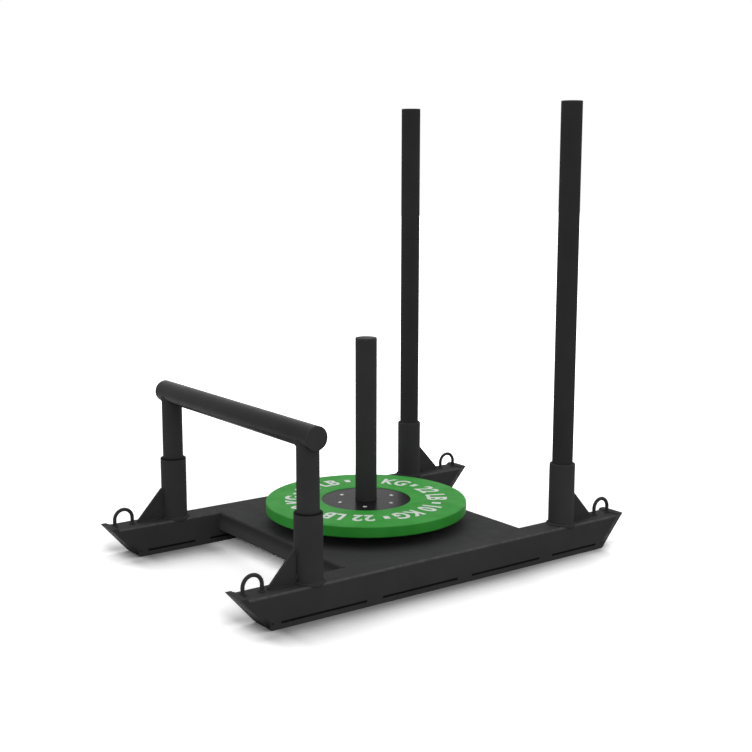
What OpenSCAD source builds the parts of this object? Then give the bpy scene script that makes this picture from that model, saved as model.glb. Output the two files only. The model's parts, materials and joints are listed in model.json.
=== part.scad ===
// Weight sled for pushing and pulling. +Z is up, X runs across the sled and Y along it.
// The low push bar stands at the -Y end and the tall poles stand at the +Y end.
// The floor is z = 0, and the origin is the middle of the sled.

/* [Runners] */
// Length of the sled over the tips of its skids
sled_length = 1010; // [900:5:1300]
// Distance between the centre lines of the two runners
runner_spacing = 556; // [520:2:700]
// Width of the runner tube
tube_w = 60; // [60:1:80]
// Height of the runner tube
tube_h = 60; // [50:1:80]
// Wall of the runner tube
tube_wall = 3; // [2:0.5:5]
// Outside corner radius of the runner tube
tube_corner = 6; // [5.5:0.5:8]
// Thickness of the skid bar under a runner
skid_t = 10; // [6:1:12]
// How far the turned-up ends of a skid stand above the runner
skid_lip = 3; // [1:0.5:6]
// Length along the floor that the turned-up end of a skid takes
ramp_run = 65; // [50:0.5:90]
// Length of a stitch weld between a runner and its skid
stitch_len = 38; // [20:1:60]
// Distance from one stitch weld to the next
stitch_pitch = 232; // [150:1:300]
// Length of the stitch weld at each end of a skid
end_stitch_len = 17; // [10:1:30]

/* [Sockets] */
// Height of the sockets above the runners
socket_h = 138; // [110:1:200]
// Distance from the tip of a skid to the centre of a socket
socket_inset = 168; // [160:0.5:200]
// Wall of the sockets of the low push bar
front_socket_wall = 5.5; // [4:0.5:6]
// Wall of the sockets of the tall poles
rear_socket_wall = 5; // [4:0.5:6]
// Clearance around a tube in its socket
socket_gap = 0.5; // [0.4:0.1:0.8]
// Rounding of the outer edge of a socket's mouth
socket_rim = 2; // [1:0.5:2.5]
// Leg of the weld around the foot of a socket
foot_weld = 4; // [2:0.5:5]

/* [Gussets] */
// Thickness of a gusset
gusset_t = 6; // [4:1:10]
// Height of a gusset on its socket
gusset_h = 70; // [55:1:100]
// Length of a gusset along the runner
gusset_foot = 64; // [50:1:65]
// Height of the blunt nose of a gusset
gusset_nose = 4; // [2:1:8]
// Width of the slit between a gusset and its socket
gusset_slit = 2.5; // [1.5:0.5:4]
// Height above the runner at which the slit starts
slit_start = 20; // [12:1:25]
// Distance from the top of a gusset down to the end of its slit
slit_end = 15; // [10:1:25]

/* [Tow loops] */
// Diameter of the rod that a tow loop is bent from
loop_rod = 8; // [6:1:9]
// Clear width inside a tow loop
loop_inside = 34; // [30:1:38]
// Height of a tow loop above the runner
loop_h = 40; // [32:1:50]
// Gap between a tow loop and the end of its runner
loop_end_gap = 1; // [0.5:0.5:5]

/* [Deck] */
// Length of the deck along the runners
deck_length = 480; // [400:10:620]
// Thickness of the deck sheet
deck_sheet = 4; // [3:0.5:6]
// Height of the folded skirts at the ends of the deck
deck_skirt = 40; // [36:1:55]
// Outside radius of the fold between the deck and a skirt
deck_fold = 8; // [7:0.5:12]
// Width of the box rib under the deck
rib_w = 40; // [30:1:60]
// Height of the box rib under the deck
rib_h = 30; // [20:1:32]
// Wall of the box rib
rib_wall = 3; // [2:0.5:4]

/* [Weight post] */
// Outside diameter of the weight post
post_od = 48; // [42:0.5:49]
// Wall of the weight post
post_wall = 4; // [3:0.5:6]
// Height of the top of the weight post above the deck
post_h = 415; // [250:1:500]
// Height of the collar that holds a plate clear of the deck
collar_h = 24; // [10:1:40]
// Wall of the collar
collar_wall = 4.5; // [4:0.5:8]
// Thickness of the plates that close the tube ends
end_plate_t = 4; // [3:0.5:6]
// Bevel around the rim of an end plate
end_bevel = 1; // [0.5:0.25:2]

/* [Low push bar] */
// Outside diameter of the push bar
bar_od = 48; // [46:0.5:55]
// Wall of the push bar and its posts
bar_wall = 3; // [2:0.5:5]
// How far the push bar reaches past its posts, with its end plates
bar_overhang = 10.5; // [6:0.5:60]
// Height of the push bar's centre line above the floor
bar_height = 356; // [300:1:450]
// Outside diameter of the posts that carry the push bar
bar_post_od = 45; // [40:0.5:46]

/* [Tall poles] */
// Outside diameter of a tall pole
pole_od = 46; // [42:0.5:47]
// Wall of a tall pole
pole_wall = 3; // [2:0.5:5]
// Height of the top of the tall poles above the floor
pole_top = 995; // [800:5:1200]

/* [Weight plate] */
// Diameter of the weight plate
plate_d = 450; // [350:1:450]
// Thickness of the weight plate
plate_t = 25; // [20:1:60]
// Rounding of the plate's outer edges
plate_edge = 3; // [2:0.5:6]
// Clearance between the plate's bore and the weight post
plate_gap = 1.2; // [0.8:0.1:1.5]
// Diameter of the steel hub discs
hub_d = 200; // [160:1:220]
// Thickness of a steel hub disc
hub_t = 3; // [2:0.5:4]
// Depth of a hub disc's face below the rubber face
hub_set_in = 1; // [0.5:0.25:2]
// Wall of the steel bush in the plate's bore
bush_wall = 5.8; // [4:0.1:8]
// Diameter of the circle that the hub rivets stand on
rivet_circle = 130; // [110:1:140]
// Number of hub rivets
rivet_count = 6; // [3:1:12]
// Diameter of a rivet's shank
rivet_shank = 6; // [4:0.5:8]
// Diameter of a rivet's head
rivet_head = 10; // [9:0.5:14]
// Height of a rivet's head
rivet_head_h = 2.2; // [1.5:0.1:3]

/* [Hidden] */
$fn = 96;

// Sides and ends as signs of X and Y
left = -1;
right = 1;
front = -1;
rear = 1;

powder_coat = [0.20, 0.20, 0.21];
bare_cap = [0.40, 0.40, 0.41];
green_rubber = [0.16, 0.52, 0.18];
hub_grey = [0.36, 0.36, 0.37];
zinc = [0.80, 0.80, 0.80];

// Runner and skid outline, seen from the side
rail_top = skid_t + tube_h;
tip_y = sled_length / 2;
tip_z = rail_top + skid_lip;
ramp_angle = atan(tip_z / ramp_run);
bend_y = tip_y - ramp_run - skid_t * tan(ramp_angle / 2);
tube_end_y = bend_y + tube_h / tan(ramp_angle);

// Places along the runners
socket_y = tip_y - socket_inset;
loop_bend_r = (loop_inside + loop_rod) / 2;
loop_y = tube_end_y - loop_end_gap - loop_rod / 2 - loop_bend_r;

// Sockets: bore and outside follow the tube that each one holds
front_bore = bar_post_od + 2 * socket_gap;
rear_bore = pole_od + 2 * socket_gap;
front_socket_r = front_bore / 2 + front_socket_wall;
rear_socket_r = rear_bore / 2 + rear_socket_wall;

// Push bar, over its end plates
bar_length = runner_spacing + bar_post_od + 2 * bar_overhang;

// Deck and weight post
deck_w = runner_spacing - tube_w;
post_top = rail_top + post_h;
plate_z = rail_top + collar_h;

// Weight plate
bore_r = post_od / 2 + plate_gap;
bush_r = bore_r + bush_wall;
plate_r = plate_d / 2;
hub_r = hub_d / 2;
hub_recess = hub_t + hub_set_in;
rivet_turn = 22;

// Stitch welds: the inner row of a runner is staggered against the outer row
outer_stitch_shift = 32;
inner_stitch_shift = -50;
stitch_reach = bend_y - end_stitch_len - stitch_len;

// Extra length of a cutting shape past the face that it cuts
past = 1;

// Draws a profile of (y, z) points and extends it along X, centred
module along_x(length) {
    rotate([90, 0, 90])
        translate([0, 0, -length / 2])
            linear_extrude(length)
                children();
}

// Draws a profile of (x, z) points and extends it along Y, centred
module along_y(length) {
    translate([0, length / 2, 0])
        rotate([90, 0, 0])
            linear_extrude(length)
                children();
}

// Rectangle with round corners, centred
module rounded_rect(w, h, r) {
    square([w - 2 * r, h], center = true);
    square([w, h - 2 * r], center = true);
    for (sx = [-1, 1], sy = [-1, 1])
        translate([sx * (w / 2 - r), sy * (h / 2 - r)])
            circle(r);
}

// Rectangle of width w and height h on the X axis with its two upper corners rounded
module arched_rect(w, h, r) {
    translate([-w / 2, 0])
        square([w, h - r]);
    translate([r - w / 2, 0])
        square([w - 2 * r, h]);
    for (s = [-1, 1])
        translate([s * (w / 2 - r), h - r])
            circle(r);
}

// Straight tube standing on z = 0
module tube(od, wall, h) {
    difference() {
        cylinder(h = h, d = od);
        translate([0, 0, -past])
            cylinder(h = h + 2 * past, d = od - 2 * wall);
    }
}

// Flat plate that closes a tube end, bevelled at its upper rim
module end_plate(od) {
    rotate_extrude()
        polygon([
            [0, 0],
            [od / 2, 0],
            [od / 2, end_plate_t - end_bevel],
            [od / 2 - end_bevel, end_plate_t],
            [0, end_plate_t],
        ]);
}

// Side view of the space inside the bent skid, up to the height top
module inside_skid(top) {
    end_y = bend_y + (top - skid_t) / tan(ramp_angle);
    polygon([
        [-bend_y, skid_t],
        [bend_y, skid_t],
        [end_y, top],
        [-end_y, top],
    ]);
}

// Full outline of a runner tube, not hollow, used to cope what stands on it
module runner_outline() {
    translate([0, 0, skid_t + tube_h / 2])
        along_y(sled_length)
            rounded_rect(tube_w, tube_h, tube_corner);
}

module runner(side) {
    translate([side * runner_spacing / 2, 0, 0])
        intersection() {
            along_x(tube_w + 2 * past)
                inside_skid(rail_top);
            translate([0, 0, skid_t + tube_h / 2])
                along_y(sled_length)
                    difference() {
                        rounded_rect(tube_w, tube_h, tube_corner);
                        rounded_rect(tube_w - 2 * tube_wall, tube_h - 2 * tube_wall, tube_corner - tube_wall);
                    }
        }
}

// Flat bar bent up around the lower corners of the runner, its ends cut level just above it
module skid_side() {
    bend_out = [bend_y + skid_t * sin(ramp_angle), skid_t - skid_t * cos(ramp_angle)];
    difference() {
        union() {
            polygon([
                [-bend_y, 0],
                [bend_y, 0],
                bend_out,
                [tip_y, tip_z],
                [-tip_y, tip_z],
                [-bend_out[0], bend_out[1]],
            ]);
            for (s = [-1, 1])
                translate([s * bend_y, skid_t])
                    circle(skid_t);
        }
        inside_skid(tip_z + past);
    }
}

module skid(side) {
    translate([side * runner_spacing / 2, 0, 0])
        along_x(tube_w)
            skid_side();
}

// Fills the hollow outside a round corner of the tube, flush with both faces, at +X and +Z
module corner_fill(length) {
    along_y(length)
        difference() {
            square(tube_corner);
            circle(tube_corner);
        }
}

// Fills the groove over the skid, on the side of the runner that faces +X
module stitch(length) {
    translate([tube_w / 2 - tube_corner, 0, skid_t + tube_corner])
        mirror([0, 0, 1])
            corner_fill(length);
}

// One row of stitches on the face of a runner that faces +X
module stitch_row(shift) {
    reach = floor((stitch_reach + abs(shift)) / stitch_pitch);
    for (k = [-reach : reach])
        if (abs(shift + k * stitch_pitch) < stitch_reach)
            translate([0, shift + k * stitch_pitch, 0])
                stitch(stitch_len);
    for (s = [-1, 1])
        translate([0, s * (bend_y - end_stitch_len / 2), 0])
            stitch(end_stitch_len);
}

// Socket tube that stands on a runner, coped over the runner's round edges, with its foot weld
module socket(side, end, bore, outer_r) {
    foot = rail_top - tube_corner;
    translate([side * runner_spacing / 2, end * socket_y, 0])
        difference() {
            union() {
                rotate_extrude() {
                    translate([bore / 2, foot])
                        square([outer_r - bore / 2, tube_corner + socket_h - socket_rim]);
                    translate([bore / 2, foot])
                        square([outer_r - bore / 2 - socket_rim, tube_corner + socket_h]);
                    translate([outer_r - socket_rim, rail_top + socket_h - socket_rim])
                        intersection() {
                            circle(socket_rim);
                            square(socket_rim);
                        }
                }
                intersection() {
                    rotate_extrude()
                        polygon([
                            [outer_r - past, foot],
                            [outer_r + foot_weld, foot],
                            [outer_r + foot_weld, rail_top],
                            [outer_r, rail_top + foot_weld],
                            [outer_r - past, rail_top + foot_weld],
                        ]);
                    translate([-tube_w / 2, -tube_w, foot])
                        cube([tube_w, 2 * tube_w, tube_corner + foot_weld]);
                }
            }
            runner_outline();
        }
}

// Three-cornered stay from a socket towards the skid's tip, with a slit beside the socket
module gusset(side, end, socket_r) {
    translate([side * runner_spacing / 2, end * socket_y, rail_top])
        mirror([0, end < 0 ? 1 : 0, 0])
            difference() {
                along_x(gusset_t)
                    polygon([
                        [socket_r - past, 0],
                        [socket_r + gusset_foot, 0],
                        [socket_r + gusset_foot, gusset_nose],
                        [socket_r + gusset_nose, gusset_h],
                        [socket_r - past, gusset_h],
                    ]);
                translate([0, 0, -past])
                    cylinder(h = gusset_h + 2 * past, r = socket_r);
                along_x(gusset_t + 2 * past) {
                    translate([0, slit_start])
                        square([socket_r + gusset_slit, gusset_h - slit_end - slit_start]);
                    polygon([
                        [0, -past],
                        [socket_r + foot_weld + 2 * past, -past],
                        [0, socket_r + foot_weld + past],
                    ]);
                }
            }
}

// Round rod bent to an arch that stands on the runner in its long direction
module tow_loop(side, end) {
    leg = loop_h - loop_bend_r - loop_rod / 2;
    translate([side * runner_spacing / 2, end * loop_y, rail_top]) {
        translate([0, 0, leg])
            rotate([90, 0, 90])
                rotate_extrude(angle = 180)
                    translate([loop_bend_r, 0])
                        circle(d = loop_rod);
        for (s = [-1, 1])
            translate([0, s * loop_bend_r, 0])
                cylinder(h = leg, d = loop_rod);
    }
}

// Tube post of the push bar, cut at its top to the round of the bar that it is welded to
module bar_post(side) {
    difference() {
        translate([side * runner_spacing / 2, -socket_y, rail_top])
            tube(bar_post_od, bar_wall, bar_height - rail_top);
        translate([0, -socket_y, bar_height])
            rotate([0, 90, 0])
                cylinder(h = bar_length, d = bar_od, center = true);
    }
}

module bar_end_plate(side) {
    translate([side * (bar_length / 2 - end_plate_t), -socket_y, bar_height])
        rotate([0, side * 90, 0])
            end_plate(bar_od);
}

module pole(side) {
    translate([side * runner_spacing / 2, socket_y, rail_top])
        tube(pole_od, pole_wall, pole_top - end_plate_t - rail_top);
}

module pole_cap(side) {
    translate([side * runner_spacing / 2, socket_y, pole_top - end_plate_t])
        end_plate(pole_od);
}

// Places its children at each rivet of the hub
module at_rivets() {
    for (k = [0 : rivet_count - 1])
        rotate([0, 0, rivet_turn + k * 360 / rivet_count])
            translate([rivet_circle / 2, 0, 0])
                children();
}

// Steel disc between the bush and the hub's rim, holed for the rivets
module hub_disc(z) {
    translate([0, 0, plate_z + z])
        difference() {
            cylinder(h = hub_t, r = hub_r);
            translate([0, 0, -past])
                cylinder(h = hub_t + 2 * past, r = bush_r);
            translate([0, 0, -past])
                at_rivets()
                    cylinder(h = hub_t + 2 * past, d = rivet_shank);
        }
}

// Low dome of a rivet's head, on z = 0
module rivet_dome() {
    r = (pow(rivet_head / 2, 2) + pow(rivet_head_h, 2)) / (2 * rivet_head_h);
    intersection() {
        translate([0, 0, rivet_head_h - r])
            sphere(r);
        cylinder(h = rivet_head_h + past, d = rivet_head);
    }
}

module left_runner() {
    color(powder_coat)
        runner(left);
}

module right_runner() {
    color(powder_coat)
        runner(right);
}

module left_skid() {
    color(powder_coat)
        skid(left);
}

module right_skid() {
    color(powder_coat)
        skid(right);
}

module skid_welds() {
    color(powder_coat)
        for (side = [left, right])
            translate([side * runner_spacing / 2, 0, 0]) {
                mirror([side < 0 ? 1 : 0, 0, 0])
                    stitch_row(outer_stitch_shift);
                mirror([side < 0 ? 0 : 1, 0, 0])
                    stitch_row(inner_stitch_shift);
            }
}

// Sheet folded down at both ends, flush with the tops of the runners
module deck_pan() {
    color(powder_coat)
        translate([0, 0, rail_top - deck_skirt])
            along_x(deck_w)
                difference() {
                    arched_rect(deck_length, deck_skirt, deck_fold);
                    translate([0, -past])
                        arched_rect(
                            deck_length - 2 * deck_sheet,
                            deck_skirt - deck_sheet + past,
                            deck_fold - deck_sheet
                        );
                }
}

module deck_rib() {
    color(powder_coat)
        translate([0, 0, rail_top - deck_sheet - rib_h / 2])
            along_x(deck_w)
                difference() {
                    square([rib_w, rib_h], center = true);
                    square([rib_w - 2 * rib_wall, rib_h - 2 * rib_wall], center = true);
                }
}

// Welds along both sides of the deck, ground flush with it and with the runners
module deck_seams() {
    color(powder_coat)
        for (s = [-1, 1])
            mirror([s < 0 ? 1 : 0, 0, 0])
                translate([deck_w / 2 + tube_corner, 0, rail_top - tube_corner])
                    mirror([1, 0, 0])
                        corner_fill(deck_length - 2 * deck_fold);
}

module front_left_socket() {
    color(powder_coat)
        socket(left, front, front_bore, front_socket_r);
}

module front_right_socket() {
    color(powder_coat)
        socket(right, front, front_bore, front_socket_r);
}

module rear_left_socket() {
    color(powder_coat)
        socket(left, rear, rear_bore, rear_socket_r);
}

module rear_right_socket() {
    color(powder_coat)
        socket(right, rear, rear_bore, rear_socket_r);
}

module front_left_gusset() {
    color(powder_coat)
        gusset(left, front, front_socket_r);
}

module front_right_gusset() {
    color(powder_coat)
        gusset(right, front, front_socket_r);
}

module rear_left_gusset() {
    color(powder_coat)
        gusset(left, rear, rear_socket_r);
}

module rear_right_gusset() {
    color(powder_coat)
        gusset(right, rear, rear_socket_r);
}

module front_left_tow_loop() {
    color(powder_coat)
        tow_loop(left, front);
}

module front_right_tow_loop() {
    color(powder_coat)
        tow_loop(right, front);
}

module rear_left_tow_loop() {
    color(powder_coat)
        tow_loop(left, rear);
}

module rear_right_tow_loop() {
    color(powder_coat)
        tow_loop(right, rear);
}

// Ring around the foot of the weight post that a plate rests on
module post_collar() {
    color(powder_coat)
        translate([0, 0, rail_top])
            tube(post_od + 2 * collar_wall, collar_wall, collar_h);
}

module weight_post() {
    color(powder_coat)
        translate([0, 0, rail_top])
            tube(post_od, post_wall, post_h - end_plate_t);
}

module weight_post_cap() {
    color(bare_cap)
        translate([0, 0, post_top - end_plate_t])
            end_plate(post_od);
}

module push_bar() {
    length = bar_length - 2 * end_plate_t;
    color(powder_coat)
        translate([-length / 2, -socket_y, bar_height])
            rotate([0, 90, 0])
                tube(bar_od, bar_wall, length);
}

module left_bar_end_plate() {
    color(powder_coat)
        bar_end_plate(left);
}

module right_bar_end_plate() {
    color(powder_coat)
        bar_end_plate(right);
}

module left_bar_post() {
    color(powder_coat)
        bar_post(left);
}

module right_bar_post() {
    color(powder_coat)
        bar_post(right);
}

module left_pole() {
    color(powder_coat)
        pole(left);
}

module right_pole() {
    color(powder_coat)
        pole(right);
}

module left_pole_cap() {
    color(powder_coat)
        pole_cap(left);
}

module right_pole_cap() {
    color(powder_coat)
        pole_cap(right);
}

// Rubber body of the plate, set in on both faces for the hub discs
module plate_rubber() {
    inner = plate_r - plate_edge;
    color(green_rubber)
        translate([0, 0, plate_z])
            difference() {
                rotate_extrude()
                    difference() {
                        union() {
                            translate([bush_r, 0])
                                square([inner - bush_r, plate_t]);
                            translate([bush_r, plate_edge])
                                square([plate_r - bush_r, plate_t - 2 * plate_edge]);
                            for (z = [plate_edge, plate_t - plate_edge])
                                translate([inner, z])
                                    circle(plate_edge);
                        }
                        translate([0, -past])
                            square([hub_r, hub_recess + past]);
                        translate([0, plate_t - hub_recess])
                            square([hub_r, hub_recess + past]);
                    }
                at_rivets()
                    cylinder(h = plate_t, d = rivet_shank);
            }
}

module hub_bush() {
    color(hub_grey)
        translate([0, 0, plate_z])
            tube(2 * bush_r, bush_wall, plate_t - hub_set_in);
}

module hub_top_disc() {
    color(hub_grey)
        hub_disc(plate_t - hub_recess);
}

module hub_bottom_disc() {
    color(hub_grey)
        hub_disc(hub_set_in);
}

// Rivets through both discs, headed at both ends
module hub_rivets() {
    color(zinc)
        translate([0, 0, plate_z])
            at_rivets() {
                translate([0, 0, hub_set_in])
                    cylinder(h = plate_t - 2 * hub_set_in, d = rivet_shank);
                translate([0, 0, plate_t - hub_set_in])
                    rivet_dome();
                translate([0, 0, hub_set_in])
                    mirror([0, 0, 1])
                        rivet_dome();
            }
}

left_runner();
right_runner();
left_skid();
right_skid();
skid_welds();
deck_pan();
deck_rib();
deck_seams();
front_left_socket();
front_right_socket();
rear_left_socket();
rear_right_socket();
front_left_gusset();
front_right_gusset();
rear_left_gusset();
rear_right_gusset();
front_left_tow_loop();
front_right_tow_loop();
rear_left_tow_loop();
rear_right_tow_loop();
post_collar();
weight_post();
weight_post_cap();
push_bar();
left_bar_end_plate();
right_bar_end_plate();
left_bar_post();
right_bar_post();
left_pole();
right_pole();
left_pole_cap();
right_pole_cap();
plate_rubber();
hub_bush();
hub_top_disc();
hub_bottom_disc();
hub_rivets();
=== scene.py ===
"""Weight sled in a white studio.

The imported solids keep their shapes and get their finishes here. Weld beads, the moulded rubber of the
plate and its painted weight marks are added as new surfaces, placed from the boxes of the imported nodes.
Lengths are metres, +Z is up, X runs across the sled and Y along it.
"""

import json
import logging
import math
from collections.abc import Callable
from dataclasses import dataclass, field
from enum import Enum

import bmesh
import bpy
import numpy as np
from mathutils import Matrix, Vector


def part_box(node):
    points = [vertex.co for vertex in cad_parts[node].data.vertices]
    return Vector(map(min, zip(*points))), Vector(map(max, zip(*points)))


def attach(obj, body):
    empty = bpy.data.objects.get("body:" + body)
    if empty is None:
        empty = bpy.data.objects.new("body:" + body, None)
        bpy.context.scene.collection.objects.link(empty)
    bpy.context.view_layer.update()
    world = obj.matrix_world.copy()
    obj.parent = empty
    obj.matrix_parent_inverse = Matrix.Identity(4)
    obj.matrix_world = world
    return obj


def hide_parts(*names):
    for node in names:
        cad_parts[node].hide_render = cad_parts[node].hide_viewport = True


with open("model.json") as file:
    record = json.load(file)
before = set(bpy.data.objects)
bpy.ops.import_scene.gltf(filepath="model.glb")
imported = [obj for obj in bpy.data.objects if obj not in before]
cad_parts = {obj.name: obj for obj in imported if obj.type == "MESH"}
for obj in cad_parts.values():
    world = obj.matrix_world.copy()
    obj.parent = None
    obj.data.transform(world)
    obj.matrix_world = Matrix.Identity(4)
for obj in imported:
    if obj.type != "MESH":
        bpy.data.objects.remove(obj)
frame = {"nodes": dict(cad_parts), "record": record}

log = logging.getLogger("weight_sled")

Array = np.ndarray
Material = bpy.types.Material
Piece = bpy.types.Object
Socket = bpy.types.NodeSocket
Colour = tuple[float, float, float]
Point = tuple[float, float, float]
Band = tuple[float, float]
Heights = Callable[[Array], Array]

TAU = 2 * math.pi
RUNNER_X = 0.278
NOISE_MIDDLE = (0.35, 0.65)
TINY = 1e-6


class Body(Enum):
    """The bodies that added pieces ride on."""

    BASE = "base"
    BAR = "push_bar_frame"
    PLATE = "weight_plate"


class Slot(Enum):
    """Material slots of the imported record."""

    COAT = "powder_coat"
    CAP = "worn_cap"
    RUBBER = "green_rubber"
    HUB = "hub_steel"
    ZINC = "zinc"


class Side(Enum):
    """Sides of the sled, as the sign of X."""

    LEFT = -1
    RIGHT = 1


class End(Enum):
    """Ends of the sled, as the sign of Y."""

    FRONT = -1
    REAR = 1


# ---- Finishes


class NodeTree:
    """The nodes of a material or a world, written in short calls."""

    def __init__(self, owner: Material | bpy.types.World) -> None:
        """Empties the owner's node tree.

        Args:
            owner: The material or world that the nodes belong to.
        """
        self.owner = owner
        self.owner.use_nodes = True
        self.tree = self.owner.node_tree
        self.tree.nodes.clear()

    def add(self, kind: str, settings: dict | None = None, inputs: dict | None = None) -> bpy.types.Node:
        """Adds a node.

        Args:
            kind: The node's type, without the words ShaderNode.
            settings: Attributes of the node.
            inputs: Values or output sockets for its inputs, by name or by place.

        Returns:
            The new node.
        """
        node = self.tree.nodes.new("ShaderNode" + kind)
        for name, value in (settings or {}).items():
            setattr(node, name, value)
        for name, value in (inputs or {}).items():
            if isinstance(value, Socket):
                self.tree.links.new(value, node.inputs[name])
            else:
                node.inputs[name].default_value = value
        return node

    def coordinates(self, scale: Point = (1, 1, 1)) -> Socket:
        """Object coordinates in metres, stretched by a scale.

        Args:
            scale: Factor along each axis.

        Returns:
            The vector output.
        """
        place = self.add("TexCoord").outputs["Object"]
        if scale == (1, 1, 1):
            return place
        return self.add("Mapping", inputs={"Vector": place, "Scale": scale}).outputs["Vector"]

    def axis(self, name: str) -> Socket:
        """One of the Object coordinates, in metres."""
        return self.add("SeparateXYZ", inputs={"Vector": self.coordinates()}).outputs[name]

    def distance(self, name: str, middle: float = 0.0) -> Socket:
        """Distance along one axis from the sled's middle, or from two planes that far from it."""
        span = self.math("ABSOLUTE", self.axis(name))
        return self.math("ABSOLUTE", self.math("SUBTRACT", span, middle)) if middle else span

    def radius(self) -> Socket:
        """Distance from the upright axis through the origin."""
        flat = self.coordinates((1, 1, 0))
        return self.add("VectorMath", {"operation": "LENGTH"}, {0: flat}).outputs["Value"]

    def noise(self, scale: float, detail: float = 2.0, vector: Socket | None = None) -> Socket:
        """Noise from 0 to 1, by its features per metre and octaves, over Object coordinates or others."""
        inputs = {"Vector": vector or self.coordinates(), "Scale": scale, "Detail": detail}
        return self.add("TexNoise", inputs=inputs).outputs["Fac"]

    def math(self, operation: str, first: Socket | float, second: Socket | float = 0.0) -> Socket:
        """One step of arithmetic on numbers or sockets."""
        return self.add("Math", {"operation": operation}, {0: first, 1: second}).outputs[0]

    def times(self, first: Socket, *others: Socket | float) -> Socket:
        """The product of all the values that are given.

        Args:
            first: The first value.
            others: The values to multiply it by, one after another.

        Returns:
            The product.
        """
        for other in others:
            first = self.math("MULTIPLY", first, other)
        return first

    def ramp(self, value: Socket, start: float, stop: float, low: Socket | float = 0.0,
             high: Socket | float = 1.0) -> Socket:
        """Runs from low at start to high at stop in a straight line, and stays there beyond both."""
        inputs = {"Value": value, "From Min": start, "From Max": stop, "To Min": low, "To Max": high}
        return self.add("MapRange", inputs=inputs).outputs["Result"]

    def spread(self, value: Socket, low: float, high: float) -> Socket:
        """Maps the middle of a noise's range onto low to high, in a straight line and clamped."""
        return self.ramp(value, *NOISE_MIDDLE, low, high)

    def blend(self, amount: Socket | float, first: Socket | Colour, second: Socket | Colour) -> Socket:
        """Mixes two colours: the first where the amount is 0, and the second where it is 1."""
        first, second = (c if isinstance(c, Socket) else (*c, 1.0) for c in (first, second))
        return self.add("Mix", {"data_type": "RGBA"}, {0: amount, 6: first, 7: second}).outputs[2]

    def bump(self, height: Socket, depth: float) -> Socket:
        """Turns a height into a normal, for which a height of 1 is a step of the depth in metres."""
        inputs = {"Height": height, "Distance": depth, "Strength": 1.0}
        return self.add("Bump", inputs=inputs).outputs["Normal"]

    def surface(self, inputs: dict) -> Material:
        """Closes the tree with a Principled surface.

        Args:
            inputs: Values or sockets for the surface's inputs, by name.

        Returns:
            The finished material.
        """
        shader = self.add("BsdfPrincipled", inputs=inputs)
        self.add("OutputMaterial", inputs={"Surface": shader.outputs["BSDF"]})
        return self.owner


@dataclass(frozen=True)
class Finish:
    """A finish of two close colours in patches, with patchy gloss and a fine grain.

    Each pattern is a noise, given by its features per metre and its octaves.
    """

    name: str
    colour: Colour
    patch_colour: Colour
    roughness: Band
    patches: Band
    gloss_patches: Band
    specular: float = 0.5
    metal: float = 0.0
    grain: Band = (650.0, 2.0)
    grain_depth: float = 0.0

    def tone(self, nodes: NodeTree) -> Socket:
        """The colour, blended with the other one in patches."""
        patch = nodes.spread(nodes.noise(*self.patches), 0.0, 1.0)
        return nodes.blend(patch, self.colour, self.patch_colour)

    def material(self) -> Material:
        """Builds the finish: patches for colour and gloss, and the grain as the bump.

        Returns:
            The finish.
        """
        nodes = NodeTree(bpy.data.materials.new(self.name))
        inputs = {
            "Base Color": self.tone(nodes),
            "Metallic": self.metal,
            "Roughness": nodes.spread(nodes.noise(*self.gloss_patches), *self.roughness),
            "Specular IOR Level": self.specular,
        }
        if self.grain_depth:
            inputs["Normal"] = nodes.bump(nodes.noise(*self.grain), self.grain_depth)
        return nodes.surface(inputs)


@dataclass(frozen=True)
class PowderCoat(Finish):
    """Matte powder coat: an even colour with a fine orange-peel grain and faint rubbed patches."""

    name: str = "black_powder_coat"
    colour: Colour = (0.0440, 0.0440, 0.0446)
    patch_colour: Colour = (0.0500, 0.0500, 0.0507)
    roughness: Band = (0.60, 0.70)
    patches: Band = (11.0, 4.0)
    gloss_patches: Band = (33.0, 3.0)
    specular: float = 0.03
    grain: Band = (900.0, 1.0)
    grain_depth: float = 0.00003


@dataclass(frozen=True)
class CapCoat(PowderCoat):
    """The thin coat of the weight post's cap, paler and a little glossier."""

    name: str = "bare_cap_coat"
    colour: Colour = (0.053, 0.053, 0.055)
    patch_colour: Colour = (0.066, 0.066, 0.068)
    roughness: Band = (0.50, 0.60)


@dataclass(frozen=True)
class PoleCoat(PowderCoat):
    """The coat of the tall poles, slightly darker and duller."""

    name: str = "pole_powder_coat"
    colour: Colour = (0.0360, 0.0360, 0.0365)
    patch_colour: Colour = (0.0410, 0.0410, 0.0416)
    specular: float = 0.012


@dataclass(frozen=True)
class HandledCoat(PowderCoat):
    """The coat of the push bar, worn smoother and a little glossier by hands."""

    name: str = "handled_powder_coat"
    colour: Colour = (0.0130, 0.0130, 0.0132)
    patch_colour: Colour = (0.0170, 0.0170, 0.0173)
    roughness: Band = (0.27, 0.34)
    specular: float = 0.08
    grain_depth: float = 0.00001


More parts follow.
